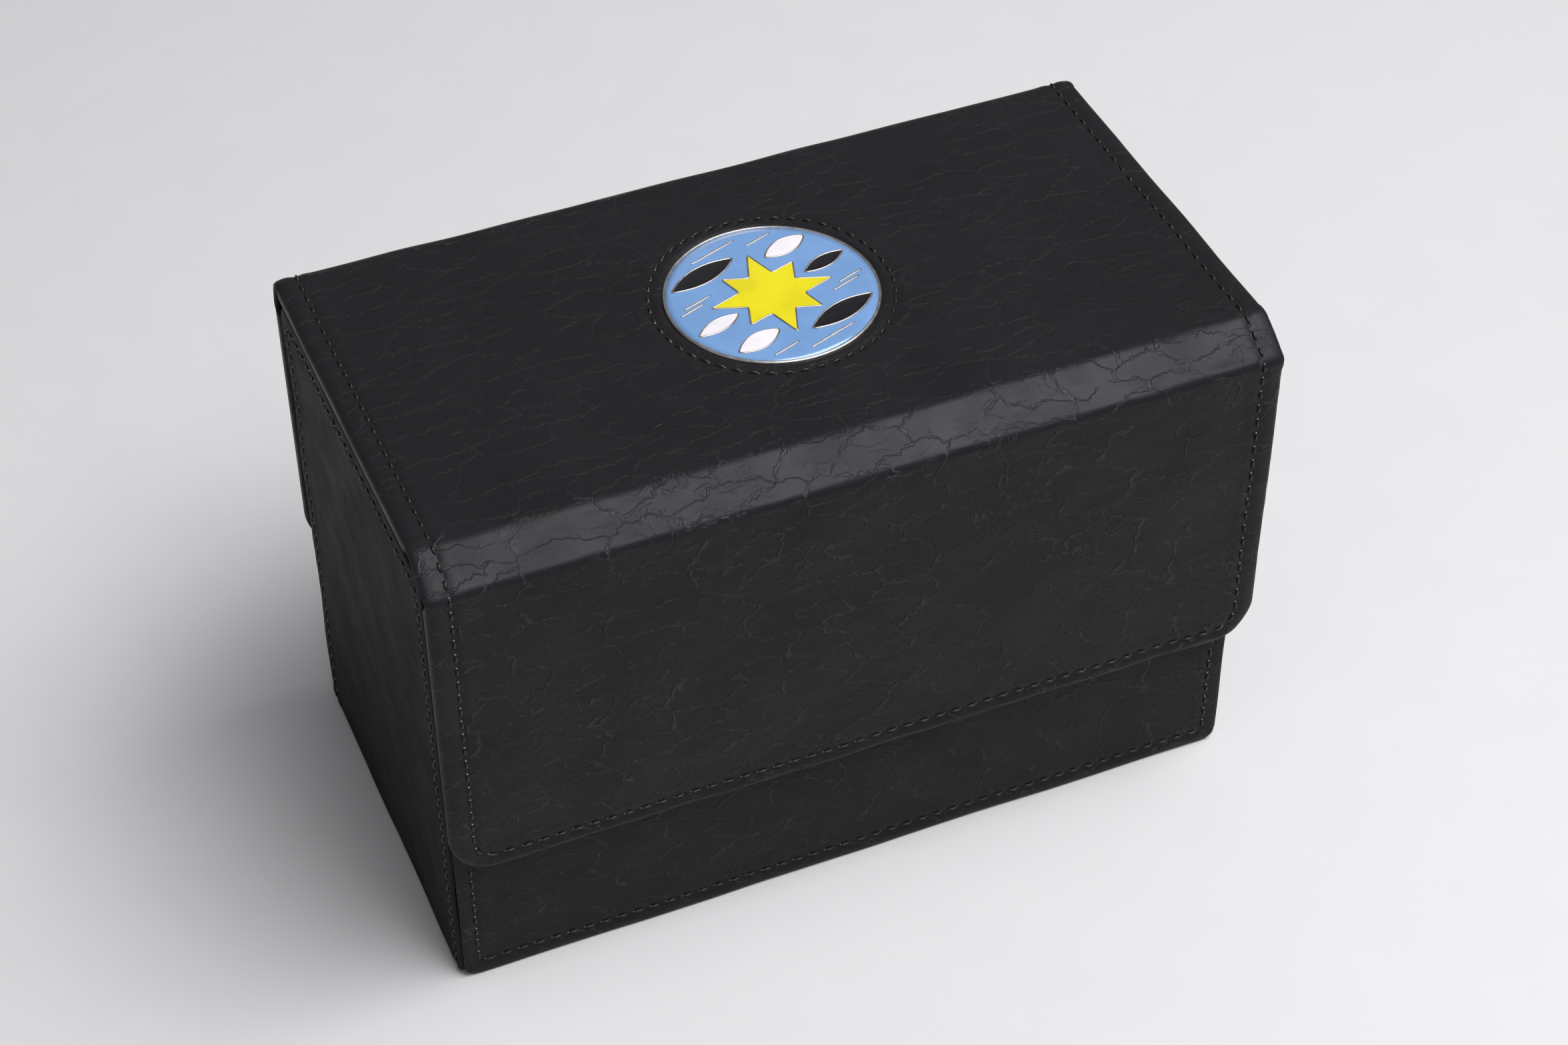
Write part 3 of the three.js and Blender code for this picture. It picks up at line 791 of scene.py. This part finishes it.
def cover_lift(x, s):
    """How far the leather stands above its flat face."""
    on_flap = 1 - smooth(s, S_FLAP - 4, S_FLAP)
    on_lid = smooth(s, S_FRONT - 1, S_FRONT + 4) * (1 - smooth(s, S_LID - 3, S_LID))
    on_front_strip = (smooth(s, S_FLAP - 1.5, S_FLAP + 1.5)
                      * (1 - smooth(s, S_FRONT - 1.5, S_FRONT + 2.5)))
    on_back_strip = smooth(s, S_LID - 1, S_LID + 1.5) * (1 - smooth(s, S_BACK - 1, S_BACK + 1.5))
    lift = (0.07 * on_flap + 0.035 * on_lid + 0.05) * waves(x, s, 24, 1)
    lift = lift + (0.022 * on_flap + 0.006 * on_lid) * waves(x, s, 5.5, 2, 2.0)
    wrinkle = waves(x, s, 2.6, 3, 4.0) + 0.7 * waves(x, s, 5.2, 4, 2.4)
    lift = lift + 0.03 * on_front_strip * wrinkle + 0.015 * on_back_strip * waves(x, s, 3, 5, 5.0)
    lift = lift + FRONT_BELLY * belly(x, s, S_FLAP, S_FRONT, 6)
    lift = lift + BACK_BELLY * belly(x, s, S_LID, S_BACK, 8)
    lift = lift + seam_lift(cover_row, x, s)
    lift = lift + np.where(np.abs(s - LID_MIDDLE) < RING_REACH, seam_lift(coin_ring, x, s), 0)
    away = np.hypot(x - COIN[0], s - LID_MIDDLE) - COIN_RADIUS
    lift = lift - SEAT_DEPTH * (1 - smooth(away, -0.6, 1.1)) + LIP_HEIGHT * hump(away, 1.0, 0.55)
    lift = lift + COVER_END_ROLL * hump(np.minimum(s, S_END - s), ROLL_AWAY, ROLL_WIDTH)
    return lift + COVER_SIDE_ROLL * hump(HALF_WIDTH - np.abs(x), 2.2, 1.1)


def cover_place(x, s, depth, share):
    y, z, ny, nz = fold.point(s)
    down = depth - (1 - share) * cover_lift(x, s)
    return np.stack([x, y - ny * down, z - nz * down], 1)


# The mesh is closer along the soft strips, where the leather folds and wrinkles.
cover_rows = np.concatenate([
    positions(0, S_FLAP - 3, 0.62, [COVER_END_STITCH]),
    positions(S_FLAP - 3, S_FRONT + 3, 0.34)[1:],
    positions(S_FRONT + 3, S_LID - 3, 0.62)[1:],
    positions(S_LID - 3, S_BACK + 3, 0.3)[1:],
    positions(S_BACK + 3, S_END, 0.8, [S_END - COVER_END_STITCH])[1:]])
cover_columns = positions(-HALF_WIDTH, HALF_WIDTH, 0.72,
                          [-HALF_WIDTH + COVER_STITCH, HALF_WIDTH - COVER_STITCH])
cover_edge = rounded_edge(1.25, 0.8)
cover = Slab(cover_columns, cover_rows, (CORNER_RADIUS, CORNER_RADIUS),
             cover_edge, cover_edge, cover_edge).build(cover_place, cover_thickness)


def row_at(s):
    return int(np.argmin(np.abs(cover_rows - s)))


PANEL_MARGIN = 3.6
cuts = [0, row_at(S_FLAP - PANEL_MARGIN), row_at((S_FLAP + S_FRONT) / 2),
        row_at(S_FRONT + PANEL_MARGIN), row_at(S_LID - PANEL_MARGIN), row_at((S_LID + S_BACK) / 2),
        row_at(S_BACK + PANEL_MARGIN), len(cover_rows) - 1]


def fold_point(s):
    y, z, _, _ = fold.point(s)
    return (0.0, float(y) * MM, float(z) * MM)


def attach(obj, body, other=None, crease=0.0, reach=0.0):
    """Rides a piece on one body, or, given a second body, only bakes the piece's transform where it
    is.
    """
    if other is None:
        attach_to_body(obj, body)
    else:
        fold_point(crease - reach)
        fold_point(crease + reach)
        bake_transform(obj)


def dress(obj, slot, *nodes):
    """Hides the CAD nodes that a piece stands for. `obj` and `slot`, the piece and the slot for its
    finish, are not used.
    """
    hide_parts(*nodes)


# For each piece of the cover: its name, how it moves, its slot, and the CAD nodes that its leather
# and its stitches stand for.
FRONT_BEND, BACK_BEND = 2.4, 1.8
front_nodes, back_nodes = [
    ((f"{strip}_leather",), (f"{strip}_left_thread", f"{strip}_right_thread"))
    for strip in ("front_strip", "back_strip")]
bands = [
    ("flap_panel", ("flap",), "cover_leather",
     ("flap_leather", "flap_board", "flap_left_magnet", "flap_right_magnet"), ("flap_thread",)),
    ("front_lower_crease", ("flap", "front_strip", S_FLAP, FRONT_BEND), "strip_leather",
     *front_nodes),
    ("front_upper_crease", ("front_strip", "lid", S_FRONT, FRONT_BEND), "strip_leather",
     *front_nodes),
    ("lid_panel", ("lid",), "cover_leather", ("lid_leather", "lid_board"),
     ("lid_left_thread", "lid_right_thread")),
    ("back_upper_crease", ("lid", "back_strip", S_LID, BACK_BEND), "strip_leather", *back_nodes),
    ("back_lower_crease", ("back_strip", "box", S_BACK, BACK_BEND), "strip_leather", *back_nodes),
    ("back_panel", ("box",), "cover_leather",
     ("back_cover_leather", "back_cover_board", "back_cover_lining"), ("back_cover_thread",)),
]
for index, (name, motion, slot, nodes, thread_nodes) in enumerate(bands):
    first, last = cuts[index], cuts[index + 1]
    low, high = cover_rows[first], cover_rows[last]
    piece = cover.piece(name, cover_leather, first, last)
    attach(piece, *motion)
    dress(piece, slot, *nodes)
    stitches = thread_piece(name + "_stitches", cover_row, cover_place,
                            lambda x, s: low <= s < high)
    attach(stitches, *motion)
    dress(stitches, "thread", *thread_nodes)

ring_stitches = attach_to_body(thread_piece("medallion_stitches", coin_ring, cover_place), "lid")
dress(ring_stitches, "thread", "medallion_thread")


# ---- Flat slabs: walls, base and linings ----

def flat_place(origin, across, along, lift=None):
    """A function that puts a slab's points on a flat face, from its lower edge's middle."""
    origin, across, along = (np.array(v, float) for v in (origin, across, along))
    outward = np.cross(across, along)

    def place(x, s, depth, share):
        down = depth - (0 if lift is None else (1 - share) * lift(x, s))
        return origin + np.outer(x, across) + np.outer(s, along) - np.outer(down, outward)
    return place


def wall(name, half, height, origin, across, row, nodes, material, top_radius, thread_to, seed):
    """A sewn wall with mitred sides. `thread_to` gives the heights between which it is stitched."""
    edge = rounded_edge(0.7, 0.5)
    mitre = mitred_edge(0.42, WALL, len(edge))

    def lift(x, s):
        gentle = 0.06 * waves(x, s, 27, seed) + 0.012 * waves(x, s, 6, seed + 1, 1.8)
        return gentle + WALL_ROLL * hump(s, ROLL_AWAY, ROLL_WIDTH) + seam_lift(row, x, s)

    place = flat_place(origin, across, (0, 0, 1), lift)
    columns = positions(-half, half, 0.85, [-row.half, row.half])
    rows = positions(0, height, 0.85, [row.low, row.high])
    slab = Slab(columns, rows, (3.0, top_radius), mitre, edge, edge).build(place, lambda s: WALL)
    dress(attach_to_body(slab.piece(name, material), "box"), "wall_leather", *nodes[0])
    sewn = thread_piece(name + "_stitches", row, place,
                        lambda x, s: thread_to[0] < s < thread_to[1])
    dress(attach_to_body(sewn, "box"), "thread", nodes[1])


# A wall's row is a tall loop that runs far past one end of the wall. Only the part on it is sewn.
ROW_FAR_END = 400
ROW_CORNER = 1.5
front_row = Row(WALL_X - WALL_STITCH, WALL_STITCH, ROW_FAR_END, ROW_CORNER)
side_row = Row(WALL_Y - WALL_STITCH, -ROW_FAR_END, SIDE_WALL_TOP - WALL_STITCH, ROW_CORNER)
wall("front_wall", WALL_X, FRONT_WALL_TOP, (BODY_X, -WALL_Y, 0), (1, 0, 0), front_row,
     (("front_wall_leather", "front_wall_board", "front_wall_left_magnet",
       "front_wall_right_magnet"), "front_wall_thread"),
     wall_leather, 1.2, (0, FRONT_WALL_TOP - 1.5), 11)
wall("back_wall", WALL_X, FRONT_WALL_TOP, (BODY_X, WALL_Y, 0), (-1, 0, 0), front_row,
     (("back_wall_leather", "back_wall_board"), "back_wall_thread"),
     wall_leather, 1.2, (0, back_low[2] + 6), 13)
for side, sign in (("left", -1), ("right", 1)):
    wall(f"{side}_wall", WALL_Y, SIDE_WALL_TOP, (BODY_X + sign * WALL_X, 0, 0), (0, sign, 0),
         side_row, ((f"{side}_wall_leather", f"{side}_wall_board"), f"{side}_wall_thread"),
         side_leather, 3.0, (1.5, SIDE_WALL_TOP), 15 + sign)


def plain_slab(name, low, high, facing, radius, material, edge_radius=0.2, step=2.4, lift=None):
    """A slab that fills a box, with its outer face towards one of the box's sides."""
    low, high = np.array(low, float), np.array(high, float)
    axis = int(np.argmax(np.abs(facing)))
    outward = np.zeros(3)
    outward[axis] = np.sign(facing[axis])
    along = np.array([0, 1, 0]) if axis == 2 else np.array([0, 0, 1])
    across = np.cross(along, outward)
    size = high - low
    width, height, depth = abs(size @ across), abs(size @ along), size[axis]
    centre = (low + high) / 2
    origin = centre + outward * depth / 2 - along * height / 2
    place = flat_place(origin, across, along, lift)
    edge = rounded_edge(edge_radius, edge_radius * 0.8, 3)
    columns = positions(-width / 2, width / 2, step)
    rows = positions(0, height, step)
    slab = Slab(columns, rows, (radius, radius), edge, edge, edge).build(place, lambda s: depth)
    return slab.piece(name, material)


def nap(x, s):
    """The slight unevenness of glued cloth."""
    return 0.03 * waves(x, s, 18, 31)


def lining_piece(node, facing, body, radius):
    """A cloth lining in its CAD node's place, sunk a little into its panel."""
    low, high = node_box(node)
    axis = int(np.argmax(np.abs(facing)))
    sunk = low if facing[axis] > 0 else high
    sunk[axis] -= np.sign(facing[axis]) * LINING_SUNK
    cloth = plain_slab(node + "_cloth", low, high, facing, radius, lining, lift=nap)
    dress(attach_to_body(cloth, body), "lining", node)


for node, facing, body, radius in (
        ("front_wall_lining", (0, 1, 0), "box", 1.5), ("back_wall_lining", (0, -1, 0), "box", 1.5),
        ("left_wall_lining", (1, 0, 0), "box", 1.5), ("right_wall_lining", (-1, 0, 0), "box", 1.5),
        ("base_lining", (0, 0, 1), "box", 1.0), ("lid_lining", (0, 0, -1), "lid", 1.0),
        ("flap_lining", (0, 1, 0), "flap", 7.5)):
    lining_piece(node, facing, body, radius)

base = plain_slab("base_panel", base_low, base_high, (0, 0, -1), 1.0, side_leather, 0.4, 1.6)
dress(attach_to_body(base, "box"), "wall_leather", "base_leather", "base_board")

divider = plain_slab("divider_core", divider_low, divider_high, (1, 0, 0), 1.5, side_leather,
                     0.5, 2.0)
dress(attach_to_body(divider, "divider"), "board", "divider_board")
for side, sign in (("left", -1), ("right", 1)):
    low, high = node_box(f"divider_{side}_face")
    face = plain_slab(f"divider_{side}_cloth", low, high, (sign, 0, 0), 1.5, lining, 0.18)
    dress(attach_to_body(face, "divider"), "lining", f"divider_{side}_face")


# ---- The medallion ----

COIN_TOP = coin_high[2]
COIN_SEGMENTS = 160
COIN_RIM = 0.3
ENAMEL_RADIUS = 19.4
ENAMEL_DEPTH = 0.22
FENCE_RADIUS = 0.19
FENCE_SIDES = 8
FENCE_STEP = 0.5
STAR_RADII = (12.0, 6.0, 10.0, 6.0)
SLASH_ANGLE = math.radians(20)
SLASH_STEPS = 12
SCORE_WIDTH = 0.16
# Slashes: across and along from the medallion's middle, length, width and colour.
SLASHES = [(-9.8, 9.7, 15.2, 4.6, "black"), (-12.4, -4.9, 9.8, 3.2, "white"),
           (7.4, 11.8, 10, 4.2, "white"), (9.8, -9.7, 15.2, 4.6, "black"),
           (-7.4, -11.8, 10, 4.2, "white"), (12.4, 4.9, 9.8, 3.2, "black")]
# Thin raised lines, each a very narrow slash: across, along and length.
SCORES = [(-5.5, 15.3, 11), (5.5, -15.3, 11), (15.2, -0.9, 5.6), (-15.2, 0.9, 5.6),
          (3.6, 15.6, 6), (-3.6, -15.6, 6), (-13.6, 2.6, 6.5), (13.6, -2.6, 6.5)]


def stack(name, rings, material):
    """A closed solid from rings of points, one above the other, each with as many points."""
    n, points, faces = len(rings[0]), [spot for ring in rings for spot in ring], []
    for i in range(len(rings) - 1):
        for k in range(n):
            a, b = i * n + k, i * n + (k + 1) % n
            faces.append([a, b, b + n, a + n])
    faces += [list(range(n))[::-1], [(len(rings) - 1) * n + k for k in range(n)]]
    return make_object(name, points, faces, material)


def circle(radius):
    """Points round the medallion's middle."""
    angles = np.linspace(0, 2 * math.pi, COIN_SEGMENTS, endpoint=False)
    return radius * np.stack([np.cos(angles), np.sin(angles)], 1)


def on_coin(outline, height):
    """An outline about the medallion's middle, put in its place at a height."""
    return [(COIN[0] + x, COIN[1] + y, height) for x, y in outline]


def star_outline():
    """An eight-pointed star with long and short points by turns."""
    radii = [STAR_RADII[k % 4] for k in range(16)]
    return np.array([(radius * math.cos(k * math.pi / 8), radius * math.sin(k * math.pi / 8))
                     for k, radius in enumerate(radii)])


def slash_outline(x, y, length, width):
    """A leaf shape with two pointed ends."""
    steps, points = SLASH_STEPS, []
    for k in range(2 * steps):
        t = k / steps if k < steps else 2 - k / steps
        bow = 2 * t * (1 - t) * width * (-1 if k < steps else 1)
        run = (t - 0.5) * length
        points.append((x + run * math.cos(SLASH_ANGLE) - bow * math.sin(SLASH_ANGLE),
                       y + run * math.sin(SLASH_ANGLE) + bow * math.cos(SLASH_ANGLE)))
    return np.array(points)


def fence(outline):
    """A round raised wire of metal along a closed outline, partly sunk in the enamel."""
    closed = np.roll(outline, -1, 0)
    dense = []
    for a, b in zip(outline, closed):
        count = max(2, int(np.linalg.norm(b - a) / FENCE_STEP))
        dense += [a + (b - a) * k / count for k in range(count)]
    dense = np.array(dense)
    dense = (np.roll(dense, 1, 0) + 2 * dense + np.roll(dense, -1, 0)) / 4
    ahead = np.roll(dense, -1, 0) - np.roll(dense, 1, 0)
    ahead /= np.linalg.norm(ahead, axis=1)[:, None]
    sideways = np.stack([ahead[:, 1], -ahead[:, 0]], 1)
    sides, points, faces = FENCE_SIDES, [], []
    for spot, side_way in zip(dense, sideways):
        for m in range(sides):
            angle = 2 * math.pi * m / sides
            flat = COIN[:2] + spot + side_way * FENCE_RADIUS * math.cos(angle)
            height = COIN_TOP - FENCE_RADIUS + FENCE_RADIUS * math.sin(angle)
            points.append((flat[0], flat[1], height))
    n = len(dense)
    for k in range(n):
        for m in range(sides):
            a, b = k * sides + m, k * sides + (m + 1) % sides
            c, d = ((k + 1) % n) * sides + m, ((k + 1) % n) * sides + (m + 1) % sides
            faces.append([a, c, d, b])
    return points, faces


def pool(name, outline, centre, depth, dome, material):
    """A pool of enamel inside an outline: level in the middle, and drawn up to its edge."""
    levels = [(1.0, depth + 0.25), (1.0, depth), (0.93, depth - dome), (0.6, depth - dome * 1.3),
              (0.25, depth - dome * 1.4)]
    return stack(name, [on_coin(centre + (outline - centre) * share, COIN_TOP - level)
                        for share, level in levels], material)


bottom = coin_low[2]
profile = [
    (COIN_RADIUS - 0.3, bottom), (COIN_RADIUS, bottom + 0.3), (COIN_RADIUS, COIN_TOP - COIN_RIM),
    (COIN_RADIUS - 0.09, COIN_TOP - 0.09), (COIN_RADIUS - COIN_RIM, COIN_TOP),
    (ENAMEL_RADIUS + 0.2, COIN_TOP), (ENAMEL_RADIUS + 0.05, COIN_TOP - 0.06),
    (ENAMEL_RADIUS, COIN_TOP - 0.2), (ENAMEL_RADIUS, COIN_TOP - ENAMEL_DEPTH - 0.2)]
coin = stack("medallion_coin_body", [on_coin(circle(radius), z) for radius, z in profile], nickel)
dress(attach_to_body(coin, "lid"), "medallion_metal", "medallion_coin")

middle = np.zeros(2)
field = pool("enamel_field_pool", circle(ENAMEL_RADIUS), middle, ENAMEL_DEPTH - 0.06, -0.03,
             enamel_blue)
dress(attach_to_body(field, "lid"), "enamel_blue", "enamel_field")
star = pool("enamel_star_pool", star_outline(), middle, ENAMEL_DEPTH - 0.09, 0.03, enamel_yellow)
dress(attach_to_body(star, "lid"), "enamel_yellow", "enamel_star")
fences = [star_outline()]
paints = {"black": enamel_black, "white": enamel_white}
for index, (x, y, length, width, colour) in enumerate(SLASHES, 1):
    outline = slash_outline(x, y, length, width)
    fences.append(outline)
    slash = pool(f"enamel_slash_{index}_pool", outline, np.array([x, y]), ENAMEL_DEPTH - 0.09,
                 0.02, paints[colour])
    dress(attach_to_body(slash, "lid"), f"enamel_{colour}", f"enamel_slash_{index}")
fences += [slash_outline(*score, SCORE_WIDTH) for score in SCORES]
points, faces = [], []
for outline in fences:
    more_points, more_faces = fence(outline)
    faces += [[k + len(points) for k in face] for face in more_faces]
    points += more_points
fence_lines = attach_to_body(make_object("medallion_fences", points, faces, nickel), "lid")


# ---- Floor, light and camera ----

FLOOR_TONE = (0.66, 0.66, 0.67, 1)
AIM = (0, 0, 60)  # the point that the lights face
SKY_COLOUR, SKY_STRENGTH = (0.95, 0.97, 1.0, 1.0), 0.20
CAMERA_PLACE = (-175.81, -422.19, 474.23)
CAMERA_TURN = (47.3057, 0.1605, -22.9798)  # in degrees about x, y and z
CAMERA_LENS, CAMERA_SENSOR = 74.18, 36.0


def floor():
    """A pale matt floor, which curves up far behind the object."""
    m = Nodes("floor")
    grain = m.noise(m.add("ShaderNodeTexCoord").outputs["Object"], 60.0, 3.0)
    m.set(Base_Color=m.mix(grain, FLOOR_TONE, times(FLOOR_TONE, 0.96)), Roughness=0.7)
    size, back, rise, radius = 3000, 1400, 2200, 700
    profile = [(-size, 0.0), (back - radius, 0.0)]
    profile += [(back - radius + radius * math.sin(a), radius * (1 - math.cos(a)))
                for a in np.linspace(0, math.pi / 2, 13)[1:]]
    profile.append((back, rise))
    points = [(x, y, z) for y, z in profile for x in (-size, size)]
    faces = [[2 * k, 2 * k + 1, 2 * k + 3, 2 * k + 2] for k in range(len(profile) - 1)]
    return make_object("floor", points, faces, m.material)


floor()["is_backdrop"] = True


def area_light(name, direction, distance, size, power):
    """A soft rectangular light that faces the object from a direction."""
    light = bpy.data.lights.new(name, "AREA")
    light.shape = "RECTANGLE"
    light.size, light.size_y = size[0] * MM, size[1] * MM
    light.energy = power
    obj = bpy.data.objects.new(name, light)
    bpy.context.scene.collection.objects.link(obj)
    away = Vector(direction).normalized()
    obj.location = Vector(AIM) * MM + away * distance * MM
    obj.rotation_mode = "QUATERNION"
    obj.rotation_quaternion = away.to_track_quat("Z", "Y")


area_light("key", (0.30, -0.30, 0.905), 1100, (1000, 620), 17)
area_light("left_fill", (-0.9, -0.35, 0.35), 1300, (700, 700), 1.3)

world = bpy.data.worlds.new("studio")
world.use_nodes = True
sky = world.node_tree.nodes["Background"]
sky.inputs["Color"].default_value = SKY_COLOUR
sky.inputs["Strength"].default_value = SKY_STRENGTH
bpy.context.scene.world = world
bpy.context.scene.view_settings.view_transform = "Standard"

camera_data = bpy.data.cameras.new("camera")
camera_data.lens, camera_data.sensor_width = CAMERA_LENS, CAMERA_SENSOR
camera_data.clip_start, camera_data.clip_end = 0.01, 20.0
camera = bpy.data.objects.new("camera", camera_data)
bpy.context.scene.collection.objects.link(camera)
camera.location = Vector(CAMERA_PLACE) * MM
camera.rotation_euler = Euler([math.radians(a) for a in CAMERA_TURN])
bpy.context.scene.camera = camera

low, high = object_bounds()
{"cad": [list(cad_low), list(cad_high)], "visual": [list(low), list(high)]}
